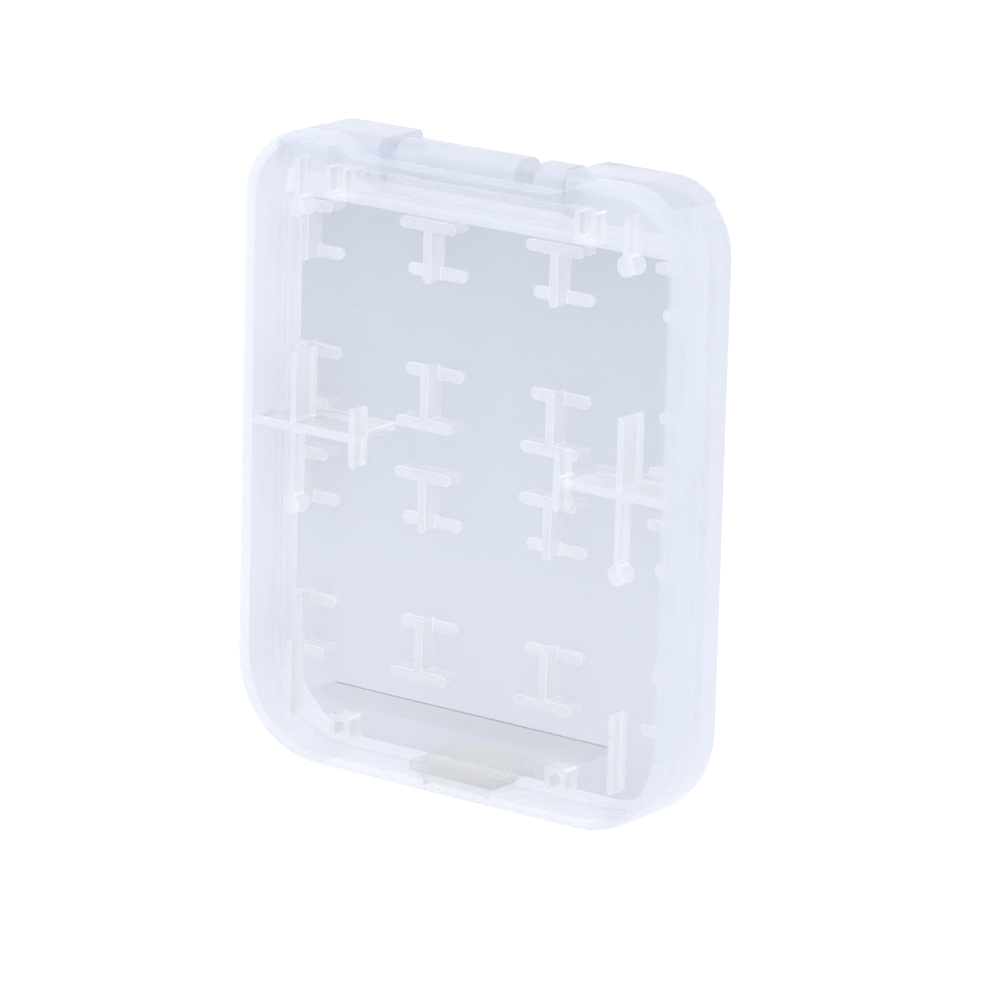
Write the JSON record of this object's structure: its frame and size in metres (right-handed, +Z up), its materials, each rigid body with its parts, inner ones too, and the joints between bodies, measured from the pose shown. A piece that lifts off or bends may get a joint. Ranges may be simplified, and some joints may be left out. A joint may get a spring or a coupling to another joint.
{
  "type": "memory card case",
  "caption": "Clear frosted plastic clamshell case for full-size and small memory cards, with moulded posts and ribs inside, a snap hinge on its short edge and a latch tab opposite.",
  "frame": {"origin": "middle of the bottom edge face that the closed case stands on", "axes": "+Z up from the latch edge to the hinge edge, +X to the right seen from the front, +Y from the front shell to the back shell"},
  "size_m": [0.055, 0.0104, 0.067],
  "materials": {
    "clear_plastic": "clear polypropylene with a light frost, glossy rims and ribs"
  },
  "bodies": {
    "back": {"back_shell": "clear_plastic", "hinge_tongue": "clear_plastic", "microsd_posts": "clear_plastic", "side_posts": "clear_plastic", "latch_tab": "clear_plastic"},
    "lid": {"front_shell": "clear_plastic", "hinge_ear_left": "clear_plastic", "hinge_ear_right": "clear_plastic", "sd_divider_left": "clear_plastic", "sd_divider_right": "clear_plastic", "sd_fences": "clear_plastic", "sd_stops_top": "clear_plastic", "sd_stops_bottom": "clear_plastic", "sd_shelf": "clear_plastic"}
  },
  "joints": [
    {"name": "lid_hinge", "type": "hinge", "parent": "back", "child": "lid", "pos_m": [0, 0.0009, 0.065], "axis": [-1, 0, 0], "range_deg": [0, 180]}
  ]
}
